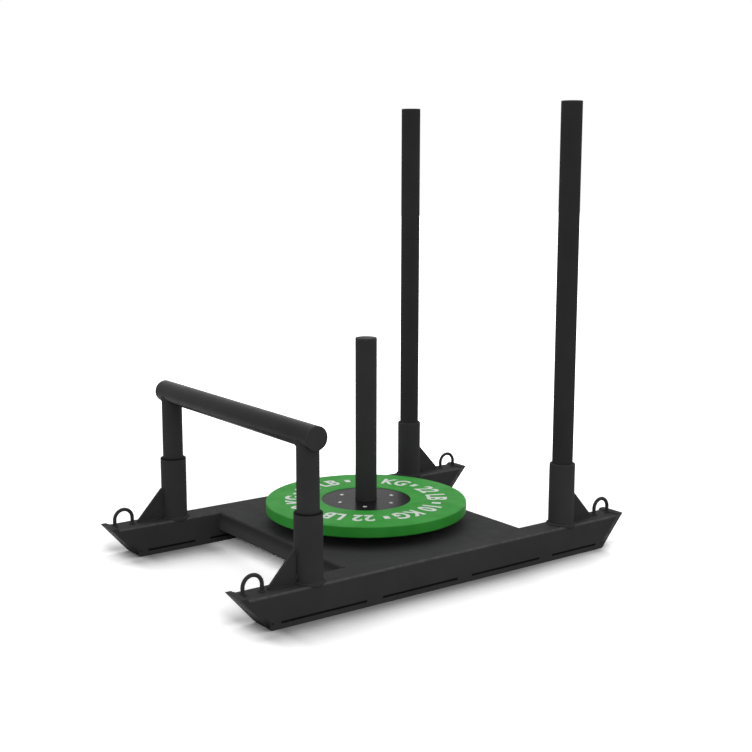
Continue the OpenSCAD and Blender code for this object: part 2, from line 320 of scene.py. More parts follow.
@dataclass(frozen=True)
class RunnerCoat(PowderCoat):
    """The coat of a runner: a painted highlight along the tube's upper edges, painted shade in the groove
    below.

    The bands are distances from the tube's centre line, plus height at the edge and less height at the
    groove.
    """

    name: str = "runner_powder_coat"
    # The edge colour is a painted highlight on the upper edges, the groove colour painted shade below
    # them.
    edge: Colour = (0.098, 0.098, 0.100)
    groove: Colour = (0.010, 0.010, 0.010)
    edge_highlight_band: Band = (0.0951, 0.0964)
    groove_shade_band: Band = (0.0143, 0.0152)
    edge_highlight_patches: Band = (60.0, 3.0)
    faintest_highlight: float = 0.45

    def tone(self, nodes: NodeTree) -> Socket:
        """The plain tone; painted highlight where distance plus height is greatest, painted shade where
        less it is.

        Args:
            nodes: The coat's nodes.

        Returns:
            The colour.
        """
        across, height = nodes.distance("X", RUNNER_X), nodes.axis("Z")
        worn = nodes.spread(nodes.noise(*self.edge_highlight_patches), self.faintest_highlight, 1.0)
        upper = nodes.ramp(nodes.math("ADD", across, height), *self.edge_highlight_band)
        lower = nodes.ramp(nodes.math("SUBTRACT", across, height), *self.groove_shade_band)
        # Painted highlight on the upper edges, broken up by noise, then painted shade in the groove.
        paler = nodes.blend(nodes.times(upper, worn), super().tone(nodes), self.edge)
        return nodes.blend(lower, paler, self.groove)


@dataclass(frozen=True)
class SkidCoat(PowderCoat):
    """The coat of a skid, with painted shade low down where its ends turn up, and a painted reflection
    above.
    """

    name: str = "skid_powder_coat"
    middle: float = RUNNER_X
    # Painted shade low on the turned-up ends, a painted reflection on their undersides, a painted
    # highlight on the rear sides.
    foot_shade: Colour = (0.012, 0.012, 0.012)
    floor_reflection: Colour = (0.160, 0.160, 0.162)
    side_highlight: Colour = (0.120, 0.120, 0.122)
    bend_band: Band = (0.440, 0.446)
    top_band: Band = (0.0722, 0.0692)
    sole_band: Band = (0.0298, 0.0288)
    side_band: Band = (0.0290, 0.0297)
    left_band: Band = (0.014, -0.006)
    right_share: float = 0.35
    floor_reflection_heights: Band = (0.026, 0.042)
    side_highlight_heights: Band = (0.004, 0.020)
    foot_shade_heights: Band = (0.032, 0.010)
    ragged: float = 0.004
    ragged_patches: Band = (45.0, 3.0)
    highlight_patches: Band = (70.0, 3.0)
    faintest_highlight: float = 0.35

    def tone(self, nodes: NodeTree) -> Socket:
        """The plain tone; past the bends painted shade low, painted reflection above, painted highlight on
        rear sides.

        Args:
            nodes: The coat's nodes.

        Returns:
            The colour.
        """
        offset = nodes.math("SUBTRACT", nodes.axis("X"), self.middle)
        span = nodes.math("ABSOLUTE", offset)
        end = nodes.ramp(nodes.distance("Y"), *self.bend_band)
        rear = nodes.ramp(nodes.axis("Y"), *self.bend_band)
        shift = nodes.spread(nodes.noise(*self.ragged_patches), -self.ragged, self.ragged)
        height = nodes.math("ADD", nodes.axis("Z"), shift)
        # Noise breaks up the painted reflection and the painted highlight, which both stop below the top.
        highlight_breakup = nodes.spread(nodes.noise(*self.highlight_patches), self.faintest_highlight, 1.0)
        worn = nodes.times(nodes.ramp(nodes.axis("Z"), *self.top_band), highlight_breakup)
        sole = nodes.times(nodes.ramp(span, *self.sole_band), end)
        left = nodes.times(nodes.ramp(offset, *self.left_band, self.right_share), sole)
        high = nodes.times(nodes.ramp(height, *self.floor_reflection_heights), left, worn)
        side = nodes.times(nodes.ramp(span, *self.side_band), rear)
        flank = nodes.times(nodes.ramp(height, *self.side_highlight_heights), side, worn)
        # Painted shade low down past the bends, under the painted reflection; then the painted highlight
        # on the sides.
        low = nodes.times(nodes.ramp(height, *self.foot_shade_heights), end)
        shade_and_reflection = nodes.blend(low, nodes.blend(high, super().tone(nodes), self.floor_reflection), self.foot_shade)
        return nodes.blend(flank, shade_and_reflection, self.side_highlight)


@dataclass(frozen=True)
class DeckCoat(PowderCoat):
    """The coat of the deck, with painted shade round the folds of its skirts and painted light below them.
    """

    name: str = "deck_powder_coat"
    # Painted shade round the folds, and painted light on the skirts below them.
    fold_shade: Colour = (0.033, 0.033, 0.033)
    skirt_light: Colour = (0.066, 0.066, 0.067)
    end_band: Band = (0.233, 0.236)
    fold_heights: Band = (0.0698, 0.0670)
    skirt_heights: Band = (0.065, 0.046)

    def tone(self, nodes: NodeTree) -> Socket:
        """The plain tone on top; past the edge of the top, painted shade round the folds, then painted
        light lower down.

        Args:
            nodes: The coat's nodes.

        Returns:
            The colour.
        """
        height = nodes.axis("Z")
        outside = nodes.ramp(nodes.distance("Y"), *self.end_band)
        # Painted shade where the top bends down, painted light on the skirts lower down.
        fold_shade_mask = nodes.times(nodes.ramp(height, *self.fold_heights), outside)
        below = nodes.times(nodes.ramp(height, *self.skirt_heights), outside)
        return nodes.blend(below, nodes.blend(fold_shade_mask, super().tone(nodes), self.fold_shade), self.skirt_light)


@dataclass(frozen=True)
class MouthCoat(PowderCoat):
    """The coat of a front socket, with a line of painted shade round its mouth, where the post goes in."""

    name: str = "mouth_powder_coat"
    # Painted shade on the rim of the socket's mouth.
    mouth_shade: Colour = (0.009, 0.009, 0.009)
    mouth: float = 0.208
    rim_start: float = 0.0026
    rim_stop: float = 0.0014

    def tone(self, nodes: NodeTree) -> Socket:
        """The plain tone, with painted shade on the rim of the socket's mouth."""
        # Painted shade in a band just below the top of the mouth.
        rim = nodes.ramp(nodes.axis("Z"), self.mouth - self.rim_start, self.mouth - self.rim_stop)
        return nodes.blend(rim, super().tone(nodes), self.mouth_shade)


@dataclass(frozen=True)
class PlateRubber(Finish):
    """Coloured solid rubber with a dull bloom, a fine moulded grain and a painted highlight on its rim."""

    name: str = "green_plate_rubber"
    colour: Colour = (0.028, 0.285, 0.031)
    patch_colour: Colour = (0.042, 0.335, 0.046)
    roughness: Band = (0.50, 0.62)
    patches: Band = (14.0, 5.0)
    gloss_patches: Band = (40.0, 3.0)
    specular: float = 0.11
    grain_depth: float = 0.00005
    # A painted highlight along the upper edge of the rim.
    rim: Colour = (0.095, 0.400, 0.095)
    rim_highlight_band: Band = (0.2228, 0.2236)
    face: float = 0.119
    edge_below: Band = (0.0024, 0.0012)
    rim_highlight_patches: Band = (30.0, 3.0)
    rim_highlight_spread: Band = (0.35, 0.90)

    def tone(self, nodes: NodeTree) -> Socket:
        """The clouded colour, with a painted highlight where both the radius and the height reach its
        bands.

        Args:
            nodes: The rubber's nodes.

        Returns:
            The colour.
        """
        start, stop = (self.face - below for below in self.edge_below)
        top = nodes.ramp(nodes.axis("Z"), start, stop)
        # The painted highlight on the rim's upper edge, broken up by noise.
        highlight_noise = nodes.spread(nodes.noise(*self.rim_highlight_patches), *self.rim_highlight_spread)
        worn = nodes.times(nodes.ramp(nodes.radius(), *self.rim_highlight_band), top, highlight_noise)
        return nodes.blend(worn, super().tone(nodes), self.rim)


@dataclass(frozen=True)
class HubSteel:
    """Dark machined steel, turned on a lathe, so that fine rings run round its middle."""

    colour: Colour = (0.046, 0.046, 0.048)
    stain: Colour = (0.036, 0.036, 0.038)
    edge: float = 0.44
    metal: float = 0.72
    roughness: Band = (0.22, 0.32)
    stains: Band = (30.0, 4.0)
    rings: Band = (1400.0, 2.0)
    ring_depth: float = 0.000004

    def material(self) -> Material:
        """Builds the steel: noise over the distance from the hub's axis gives rings of bump and gloss.

        Returns:
            The steel.
        """
        nodes = NodeTree(bpy.data.materials.new("turned_hub_steel"))
        line = nodes.add("CombineXYZ", inputs={"X": nodes.radius()}).outputs["Vector"]
        ring = nodes.noise(*self.rings, line)
        stain = nodes.spread(nodes.noise(*self.stains), 0.0, 1.0)
        return nodes.surface({
            "Base Color": nodes.blend(stain, self.colour, self.stain),
            "Metallic": self.metal,
            "Specular Tint": (self.edge, self.edge, self.edge, 1.0),
            "Roughness": nodes.spread(ring, *self.roughness),
            "Normal": nodes.bump(ring, self.ring_depth),
        })


@dataclass(frozen=True)
class ZincPlating(Finish):
    """Bright plating on a rivet, with a faint cloudy film."""

    name: str = "zinc_plating"
    colour: Colour = (0.46, 0.46, 0.455)
    patch_colour: Colour = (0.34, 0.34, 0.335)
    roughness: Band = (0.18, 0.34)
    patches: Band = (350.0, 3.0)
    gloss_patches: Band = (500.0, 2.0)
    metal: float = 1.0


@dataclass(frozen=True)
class MarkPaint(Finish):
    """White paint of the weight marks, worn to greyer specks, with the rubber's grain under it."""

    name: str = "white_mark_paint"
    colour: Colour = (0.74, 0.78, 0.74)
    patch_colour: Colour = (0.58, 0.66, 0.58)
    roughness: Band = (0.45, 0.60)
    patches: Band = (260.0, 4.0)
    gloss_patches: Band = (60.0, 2.0)
    grain_depth: float = 0.00003


# ---- Surfaces


def make_piece(name: str, points: Array, faces: list[list[int]], material: Material) -> Piece:
    """Puts points and faces into a new smooth-shaded piece.

    Args:
        name: The piece's name.
        points: Places in metres, one row each.
        faces: Corners of each face, as row numbers.
        material: The finish.

    Returns:
        The linked object, at the origin.
    """
    mesh = bpy.data.meshes.new(name)
    mesh.from_pydata(points.tolist(), [], faces)
    mesh.update()
    mesh.polygons.foreach_set("use_smooth", np.ones(len(mesh.polygons), dtype=bool))
    mesh.materials.append(material)
    piece = bpy.data.objects.new(name, mesh)
    bpy.context.scene.collection.objects.link(piece)
    return piece


def grid_faces(rows: int, columns: int, closed: bool) -> Array:
    """Quads of a grid whose columns close on themselves, and whose rows may.

    Quad (i, j) joins (i, j), (i, j+1), (i+1, j+1) and (i+1, j), counted round.

    Args:
        rows: Points along the path.
        columns: Points round the section.
        closed: Whether the last row joins the first.

    Returns:
        One row of four point numbers for each quad.
    """
    i, j = np.meshgrid(np.arange(rows if closed else rows - 1), np.arange(columns), indexing="ij")
    i, j = i.ravel(), j.ravel()
    here, after, beside = i * columns, (i + 1) % rows * columns, (j + 1) % columns
    return np.stack([here + j, here + beside, after + beside, after + j], 1)


def outward(piece: Piece) -> Piece:
    """Merges doubles and turns the faces of a closed piece outwards.

    Args:
        piece: The piece, whose mesh is changed.

    Returns:
        The same piece.
    """
    form = bmesh.new()
    form.from_mesh(piece.data)
    bmesh.ops.remove_doubles(form, verts=form.verts, dist=TINY)
    bmesh.ops.recalc_face_normals(form, faces=form.faces)
    form.to_mesh(piece.data)
    form.free()
    return piece


def unit(vectors: Array) -> Array:
    """Scales each row to length 1."""
    return vectors / np.linalg.norm(vectors, axis=1, keepdims=True)


@dataclass(frozen=True)
class Corner:
    """The line along which two welded pieces meet, with the directions up both of them."""

    place: Array
    first: Array
    second: Array


Seam = Callable[[Array], Corner]


@dataclass(frozen=True)
class WeldBead:
    """A bead laid in a corner: a rounded fill whose back is rippled by the torch's steps.

    Its lengths are the leg, the pitch of the ripples and the run over which an open end falls away,
    which is counted in legs.
    """

    leg: float = 0.0042
    pitch: float = 0.0030
    ripple: float = 0.13
    wander: float = 0.10
    wander_waves: tuple[int, int] = (3, 5)
    wander_phase: float = 1.3
    end_run: float = 1.4
    least_end: float = 0.01
    fewest_ripples: int = 3
    rings_per_ripple: int = 6
    sides: int = 12
    buried: float = 0.30
    survey_points: int = 160

    def lay(self, seam: Seam, closed: bool) -> tuple[Array, Array]:
        """Lays the bead along a seam.

        Point (i, j) is the corner's place plus radius(i, j) times the unit vector at angle j in the plane
        of the corner's two directions. The radius is the leg on the open quarter between them, with a
        saw-tooth ripple along the path and a slow wander, and a small share of it inside the metal. At the
        ends of an open bead the radius falls to nothing along a quarter circle.

        Args:
            seam: Gives the corner at each value from 0 to 1.
            closed: Whether the bead's end meets its start.

        Returns:
            The points, and the quads as rows of four numbers.
        """
        rough = seam(np.linspace(0, 1, self.survey_points)).place
        length = float(np.linalg.norm(np.diff(rough, axis=0), axis=1).sum())
        ripples = max(self.fewest_ripples, round(length / self.pitch))
        rows = ripples * self.rings_per_ripple
        t = np.arange(rows) / rows if closed else np.linspace(0, 1, rows)
        corner = seam(t)
        tooth = 1 + self.ripple * (np.sin(math.pi * ((t * ripples) % 1.0)) - 0.5)
        slow, fast = (TAU * waves * t for waves in self.wander_waves)
        drift = 1 + self.wander * np.sin(slow + self.wander_phase) * np.cos(fast)
        leg = self.leg * tooth * drift
        if not closed:
            run = np.clip(np.minimum(t, 1 - t) * length / (self.end_run * self.leg), 0, 1)
            leg = leg * np.sqrt(np.clip(1 - (1 - run) ** 2, self.least_end**2, 1))
        angle = np.arange(self.sides) * TAU / self.sides
        share = np.where(angle <= math.pi / 2 + TINY, 1.0, self.buried)
        radius = leg[:, None] * share[None, :]
        up = np.cos(angle)[None, :, None] * corner.first[:, None]
        out = np.sin(angle)[None, :, None] * corner.second[:, None]
        points = corner.place[:, None] + radius[..., None] * (up + out)
        return points.reshape(-1, 3), grid_faces(rows, self.sides, closed)


@dataclass
class WeldGroup:
    """Beads of one joint, gathered into one piece."""

    name: str
    material: Material
    points: list[Array] = field(default_factory=list)
    faces: list[list[int]] = field(default_factory=list)
    count: int = 0

    def add(self, bead: WeldBead, seam: Seam, closed: bool = False) -> None:
        """Lays one more bead, and closes its ends with a face each if it is open.

        Args:
            bead: The bead's size and ripple.
            seam: The corner that it fills.
            closed: Whether its end meets its start.
        """
        points, quads = bead.lay(seam, closed)
        self.faces.extend((quads + self.count).tolist())
        if not closed:
            first = np.arange(bead.sides) + self.count
            self.faces.append(first[::-1].tolist())
            self.faces.append((first + len(points) - bead.sides).tolist())
        self.points.append(points)
        self.count += len(points)

    def piece(self, body: Body) -> None:
        """Makes the piece, facing outwards, and lets it ride on a body.

        Args:
            body: The body that it moves with.
        """
        made = outward(make_piece(self.name, np.concatenate(self.points), self.faces, self.material))
        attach(made, body.value)
        log.info("%s: %d faces", self.name, len(made.data.polygons))


def straight(start: Point, end: Point, first: Point, second: Point) -> Seam:
    """A seam along a straight line.

    Args:
        start: Where it starts.
        end: Where it ends.
        first: Direction up one piece.
        second: Direction up the other.

    Returns:
        The seam: place = start + t (end - start), with constant directions.
    """
    a, b, up, out = (np.array([v], float) for v in (start, end, first, second))

    def corner(t: Array) -> Corner:
        """The corner at each value of t."""
        ones = np.ones((len(t), 1))
        return Corner(a + t[:, None] * (b - a), ones * unit(up), ones * unit(out))

    return corner


def around(x: float, y: float, radius: float, floor: Heights, step: float = 0.001) -> Seam:
    """A seam around an upright tube.

    Args:
        x: The tube's place across the sled.
        y: The tube's place along the sled.
        radius: The tube's outside radius.
        floor: Height of the surface that it stands on, from rows of (x, y).
        step: Distance outwards over which the floor's slope is taken.

    Returns:
        The seam: a circle dropped onto the floor, with the directions up the tube and away from it.
    """

    def corner(t: Array) -> Corner:
        """The corner at each value of t.

        Args:
            t: Shares of the way round.

        Returns:
            The corners.
        """
        angle = TAU * t
        away = np.stack([np.cos(angle), np.sin(angle), np.zeros_like(t)], 1)
        place = np.array([x, y, 0.0]) + radius * away
        place[:, 2] = floor(place[:, :2])
        further = place[:, :2] + step * away[:, :2]
        away[:, 2] = (floor(further) - place[:, 2]) / step
        return Corner(place, np.tile([0.0, 0.0, 1.0], (len(t), 1)), unit(away))

    return corner


def saddle(x: float, y: float, radius: float, bar_z: float, bar_radius: float) -> Seam:
    """A seam where an upright tube runs into a level bar above it.

    At angle a round the tube, the place is (x + r cos a, y + r sin a) at the height of the bar's
    underside there: the bar's centre height minus the root of R squared minus (r sin a) squared.

    Args:
        x: The tube's place across the sled.
        y: The tube's and the bar's place along the sled.
        radius: The tube's outside radius r.
        bar_z: Height of the bar's centre.
        bar_radius: The bar's outside radius R.

    Returns:
        The seam, with the directions down the tube and out along the bar's underside.
    """

    def corner(t: Array) -> Corner:
        """The corner at each value of t.

        Args:
            t: Shares of the way round.

        Returns:
            The corners.
        """
        angle = TAU * t
        across = radius * np.sin(angle)
        drop = np.sqrt(bar_radius**2 - across**2)
        place = np.stack([x + radius * np.cos(angle), y + across, bar_z - drop], 1)
        away = np.stack([np.cos(angle), np.sin(angle), np.sin(angle) * across / drop], 1)
        return Corner(place, np.tile([0.0, 0.0, -1.0], (len(t), 1)), unit(away))

    return corner


@dataclass
class SledBase:
    """Runners, skids, sockets, gussets, tow loops and deck, with the welds that join them."""

    coat: Material
    tube_corner: float = 0.006
    corner_share: float = 0.98
    slit_start: float = 0.020
    slit_end: float = 0.015
    foot_clear: float = 0.007
    gusset_clear: float = 0.001
    skirt_clear: Band = (0.001, 0.009)
    lip_slope: Band = (0.65, 0.76)
    foot_bead: WeldBead = WeldBead(leg=0.0043)
    small_bead: WeldBead = WeldBead(leg=0.0032, pitch=0.0024)
    lip_bead: WeldBead = WeldBead(leg=0.0034, pitch=0.0026)

    def __post_init__(self) -> None:
        """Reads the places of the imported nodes."""
        low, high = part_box("right_runner")
        self.runner_low, self.runner_high = low, high
        self.top = high.z
        self.half_width = (high.x - low.x) / 2
        self.centre_x = (high.x + low.x) / 2

    def runner_x(self, side: Side) -> float:
        """Centre line of a runner."""
        return side.value * self.centre_x

    def runner_floor(self, side: Side) -> Heights:
        """Height of the runner's upper surface: flat, then round where the tube's corners turn down.

        Past the flat, the height is the corner's centre height plus the root of r squared minus the
        square of the distance past the corner's centre. The distance stops just short of r, where the
        slope would have no end.

        Args:
            side: The runner's side.

        Returns:
            A function from rows of (x, y) to heights.
        """
        flat = self.half_width - self.tube_corner
        middle = self.runner_x(side)

        def height(places: Array) -> Array:
            """Height at each place."""
            past = np.clip(np.abs(places[:, 0] - middle) - flat, 0, self.tube_corner * self.corner_share)
            return self.top - self.tube_corner + np.sqrt(self.tube_corner**2 - past**2)

        return height

    def socket_centre(self, side: Side, end: End) -> float:
        """Place of a socket along the sled, from the tube that stands in it.

        Args:
            side: The socket's side.
            end: The socket's end.

        Returns:
            The socket's Y.
        """
        held = "bar_post" if end is End.FRONT else "pole"
        low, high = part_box(f"{side.name.lower()}_{held}")
        return (low.y + high.y) / 2

    def socket_welds(self, side: Side, end: End) -> None:
        """The bead around a socket's foot, and those of its gusset.

        Each face of a gusset has a bead along the runner, and two up the socket, below and above its slit.

        Args:
            side: The socket's side.
            end: The socket's end.
        """
        name = f"{end.name.lower()}_{side.name.lower()}"
        x, y, out = self.runner_x(side), self.socket_centre(side, end), end.value
        low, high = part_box(f"{name}_gusset")
        near, far = (low.y, high.y) if end is End.REAR else (high.y, low.y)
        radius = abs(near - y)
        group = WeldGroup(f"{name}_socket_weld", self.coat)
        group.add(self.foot_bead, around(x, y, radius, self.runner_floor(side)), closed=True)
        foot = (near + out * self.foot_clear, far - out * self.gusset_clear)
        runs = ((self.top + self.foot_clear, self.top + self.slit_start), (high.z - self.slit_end, high.z))
        for face, flank in ((-1, low.x), (1, high.x)):
            first, last = ((flank, place, self.top) for place in foot)
            group.add(self.small_bead, straight(first, last, (face, 0, 0), (0, 0, 1)))
            edge = y + out * math.sqrt(radius**2 - (flank - x) ** 2)
            for start, stop in runs:
                run = straight((flank, edge, start), (flank, edge, stop), (face, 0, 0), (0, out, 0))
                group.add(self.small_bead, run)
        group.piece(Body.BASE)

    def loop_welds(self, side: Side, end: End) -> None:
        """The beads around both feet of a tow loop.

        Args:
            side: The loop's side.
            end: The loop's end.
        """
        name = f"{end.name.lower()}_{side.name.lower()}_tow_loop"
        low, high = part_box(name)
        rod = (high.x - low.x) / 2
        group = WeldGroup(f"{name}_weld", self.coat)
        for y in (low.y + rod, high.y - rod):
            foot = around(self.runner_x(side), y, rod, self.runner_floor(side))
            group.add(self.small_bead, foot, closed=True)
        group.piece(Body.BASE)

    def lip_welds(self, side: Side) -> None:
        """The fillets between the runner's top and the skid's turned-up ends.

        Args:
            side: The runner's side.
        """
        middle, (out, up) = self.runner_x(side), self.lip_slope
        flat = self.half_width - self.tube_corner / 2
        group = WeldGroup(f"{side.name.lower()}_skid_lip_weld", self.coat)
        for end, y in ((End.FRONT, self.runner_low.y), (End.REAR, self.runner_high.y)):
            start, stop = ((middle + reach, y, self.top) for reach in (-flat, flat))
            group.add(self.lip_bead, straight(start, stop, (0, -end.value, 0), (0, end.value * out, up)))
        group.piece(Body.BASE)

    def deck_welds(self) -> None:
        """Beads under the deck's long edges, up both ends of its skirts and up both ends of the rib."""
        low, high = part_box("deck_pan")
        rib_low, rib_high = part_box("deck_rib")
        under = rib_high.z
        sheet = self.top - under
        foot, head = low.z + self.skirt_clear[0], high.z - self.skirt_clear[1]
        group = WeldGroup("deck_weld", self.coat)
        for sign, x in ((1, low.x), (-1, high.x)):
            for start, end in ((low.y + sheet, rib_low.y), (rib_high.y, high.y - sheet)):
                edge = straight((x, start, under), (x, end, under), (sign, 0, 0), (0, 0, -1))
                group.add(self.small_bead, edge)
            skirts, ribs = ((low.y, high.y), foot, head), ((rib_low.y, rib_high.y), rib_low.z, rib_high.z)
            for places, bottom, top in (skirts, ribs):
                for out, y in zip((-1, 1), places):
                    end_seam = straight((x, y, bottom), (x, y, top), (sign, 0, 0), (0, out, 0))
                    group.add(self.small_bead, end_seam)
        group.piece(Body.BASE)

    def build(self) -> None:
        """Adds all welds of the base."""
        for side in Side:
            for end in End:
                self.socket_welds(side, end)
                self.loop_welds(side, end)
            self.lip_welds(side)
        self.deck_welds()


@dataclass
class WeightPost:
    """The post in the deck's middle with its collar and cap."""

    coat: Material
    bead: WeldBead = WeldBead(leg=0.0040)

    def build(self) -> None:
        """Adds the bead around the collar's foot."""
        low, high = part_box("post_collar")
        group = WeldGroup("post_collar_weld", self.coat)
        group.add(self.bead, around(0, 0, high.x, lambda p: np.full(len(p), low.z)), closed=True)
        group.piece(Body.BASE)


@dataclass
class PushBar:
    """The low push bar on its two posts."""

    coat: Material
    bead: WeldBead = WeldBead(leg=0.0036)

    def build(self) -> None:
        """Adds the saddle beads under the bar."""
        low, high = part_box("push_bar")
        bar_z, bar_y, bar_radius = (high.z + low.z) / 2, (high.y + low.y) / 2, (high.z - low.z) / 2
        for side in Side:
            name = f"{side.name.lower()}_bar_post"
            post_low, post_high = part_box(name)
            x, radius = (post_low.x + post_high.x) / 2, (post_high.x - post_low.x) / 2
            group = WeldGroup(f"{name}_weld", self.coat)
            group.add(self.bead, saddle(x, bar_y, radius, bar_z, bar_radius), closed=True)
            group.piece(Body.BAR)


@dataclass
class BumperPlate:
    """The rubber plate around its steel hub, with its painted weight marks.

    Sizes of the letters are shares of the height that the font gives them, before they are laid on the
    ring, and condense narrows them.
    """

    rubber: Material
    paint: Material
    segments: int = 320
    rim_round: float = 0.0032
    rim_steps: int = 11
    lip_round: float = 0.0010
    lip_steps: int = 7
    face_gaps: Band = (0.006, 0.004)
    face_steps: int = 12
    mark_inner: float = 0.139
    mark_outer: float = 0.183
    mark_rise: float = 0.00035
    condense: float = 0.78
    letter_weight: float = 0.028
    letter_spacing: float = 1.06
    letter_depth: float = 0.5
    longest_edge: float = 0.18
    cuts: int = 3
    bar_inset: float = 0.012
    bar_half_angle: float = 2.2
    bar_steps: tuple[int, int] = (6, 5)
    words: tuple[str, ...] = ("10 KG", "22 LB") * 3
    first_mark: float = 10.0
    first_bar: float = 40.0
    mark_step: float = 60.0

    def __post_init__(self) -> None:
        """Reads the plate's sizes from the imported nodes."""
        low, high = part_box("plate_rubber")
        self.bottom, self.face = low.z, high.z
        self.radius = (high.y - low.y) / 2
        disc_low, disc_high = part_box("hub_top_disc")
        self.hub_radius = (disc_high.x - disc_low.x) / 2
        self.recess = high.z - disc_low.z
        self.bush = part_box("hub_bush")[1].x

    def half_profile(self) -> Array:
        """The upper half of the rubber's section, as rows of (radius, height above the middle).

        From the bush outwards: up the recess wall under the disc, over a small round lip, along the face,
        and round the rim by a quarter circle.

        Returns:
            The rows, from the bush to the rim's widest point.
        """
        half = (self.face - self.bottom) / 2
        lip = np.linspace(math.pi, math.pi / 2, self.lip_steps)
        rim = np.linspace(math.pi / 2, 0, self.rim_steps)
        r, h, (inner, outer) = self.lip_round, self.rim_round, self.face_gaps
        face = np.linspace(self.hub_radius + inner, self.radius - h - outer, self.face_steps)
        return np.concatenate([
            [[self.bush, half - self.recess], [self.hub_radius, half - self.recess]],
            np.stack([self.hub_radius + r + r * np.cos(lip), half - r + r * np.sin(lip)], 1),
            np.stack([face, np.full(self.face_steps, half)], 1),
            np.stack([self.radius - h + h * np.cos(rim), half - h + h * np.sin(rim)], 1),
        ])

    def rubber_body(self) -> Piece:
        """The rubber: its section, mirrored about the middle, turned around the post's axis.

        Point (i, j) is (r cos a, r sin a, z) for section point i and angle j.

        Returns:
            The body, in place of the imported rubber.
        """
        upper = self.half_profile()
        lower = upper[::-1] * [1, -1]
        section = np.concatenate([upper, lower])
        angle = np.arange(self.segments) * TAU / self.segments
        middle = (self.face + self.bottom) / 2
        points = np.stack([
            section[:, None, 0] * np.cos(angle), section[:, None, 0] * np.sin(angle),
            np.broadcast_to(section[:, None, 1] + middle, (len(section), self.segments)),
        ], 2).reshape(-1, 3)
        faces = grid_faces(len(section), self.segments, True)
        piece = outward(make_piece("plate_rubber_body", points, faces.tolist(), self.rubber))
        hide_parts("plate_rubber")
        return piece

    def text_mesh(self, words: str) -> bpy.types.Mesh:
        """Heavy words from the built-in font, centred on x and standing on y = 0.

        Args:
            words: What they say.

        Returns:
            Their mesh, about 1 high and 1 thick.
        """
        curve = bpy.data.curves.new("words", "FONT")
        curve.body = words
        curve.align_x = "CENTER"
        curve.size = 1.0
        curve.offset = self.letter_weight
        curve.extrude = self.letter_depth
        curve.space_character = self.letter_spacing
        holder = bpy.data.objects.new("words", curve)
        bpy.context.scene.collection.objects.link(holder)
        bpy.context.view_layer.update()
        graph = bpy.context.evaluated_depsgraph_get()
        mesh = bpy.data.meshes.new_from_object(holder.evaluated_get(graph))
        bpy.data.objects.remove(holder)
        bpy.data.curves.remove(curve)
        return mesh

    def cut_up(self, mesh: bpy.types.Mesh) -> None:
        """Splits a mesh's long edges, so that it can be bent round the ring.

        Args:
            mesh: The mesh, which is changed.
        """
        form = bmesh.new()
        form.from_mesh(mesh)
        bmesh.ops.triangulate(form, faces=form.faces)
        for _ in range(self.cuts):
            long = [edge for edge in form.edges if edge.calc_length() > self.longest_edge]
            bmesh.ops.subdivide_edges(form, edges=long, cuts=1)
            bmesh.ops.triangulate(form, faces=form.faces)
        form.to_mesh(mesh)
        form.free()

    def wrap_words(self, words: str, degrees: float) -> Piece:
        """Lays words on the plate's face along a ring, reading clockwise with their tops outwards.

        A letter's point (x, y, z) goes to radius = inner + y * height, at angle = middle - x * height
        / mean radius, and to the face plus a thin rise.

        Args:
            words: What they say.
            degrees: Where their middle is on the ring.

        Returns:
            The painted words.
        """
        mesh = self.text_mesh(words)
        self.cut_up(mesh)
        flat = np.empty(len(mesh.vertices) * 3)
        mesh.vertices.foreach_get("co", flat)
        flat = flat.reshape(-1, 3)
        height = (self.mark_outer - self.mark_inner) / flat[:, 1].max()
        ring = (self.mark_inner + self.mark_outer) / 2
        radius = self.mark_inner + flat[:, 1] * height
        angle = math.radians(degrees) - flat[:, 0] * height * self.condense / ring
        z = self.face + np.where(flat[:, 2] > 0, self.mark_rise, -self.mark_rise)
        placed = np.stack([radius * np.cos(angle), radius * np.sin(angle), z], 1)
        mesh.vertices.foreach_set("co", placed.ravel())
        mesh.update()
        name = f"mark_{words.replace(' ', '_').lower()}_{int(degrees)}"
        piece = bpy.data.objects.new(name, mesh)
        mesh.materials.clear()
        mesh.materials.append(self.paint)
        bpy.context.scene.collection.objects.link(piece)
        return outward(piece)

    def divider(self, degrees: float) -> Piece:
        """A plain painted bar between two marks: a box in radius and angle.

        Its outline runs outwards along one side, round the outer end, back, and round the inner end.

        Args:
            degrees: Where its middle is on the ring.

        Returns:
            The painted bar.
        """
        long, wide = self.bar_steps
        middle, half = math.radians(degrees), math.radians(self.bar_half_angle)
        r = np.linspace(self.mark_inner + self.bar_inset, self.mark_outer - self.bar_inset, long)
        a = np.linspace(middle - half, middle + half, wide)
        radius = np.concatenate([r, np.full(wide - 1, r[-1]), r[-2::-1], np.full(wide - 2, r[0])])
        angle = np.concatenate([np.full(long, a[0]), a[1:], np.full(long - 1, a[-1]), a[-2:0:-1]])
        count = len(radius)
        place = np.stack([radius * np.cos(angle), radius * np.sin(angle)], 1)
        points = np.concatenate([
            np.column_stack([place, np.full(count, self.face - self.mark_rise)]),
            np.column_stack([place, np.full(count, self.face + self.mark_rise)]),
        ])
        ring = grid_faces(2, count, False).tolist()
        faces = ring + [list(range(count))[::-1], list(range(count, 2 * count))]
        piece = make_piece(f"mark_bar_{int(degrees)}", points, faces, self.paint)
        piece.data.polygons.foreach_set("use_smooth", np.zeros(len(piece.data.polygons), dtype=bool))
        return outward(piece)

    def build(self) -> None:
        """Makes the rubber and the marks, riding on the plate."""
        turns = [self.mark_step * number for number in range(len(self.words))]
        pieces = [self.rubber_body()]
        pieces += [self.wrap_words(w, self.first_mark + turn) for w, turn in zip(self.words, turns)]
        pieces += [self.divider(self.first_bar + turn) for turn in turns]
        for piece in pieces:
            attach(piece, Body.PLATE.value)
            log.info("%s: %d faces", piece.name, len(piece.data.polygons))


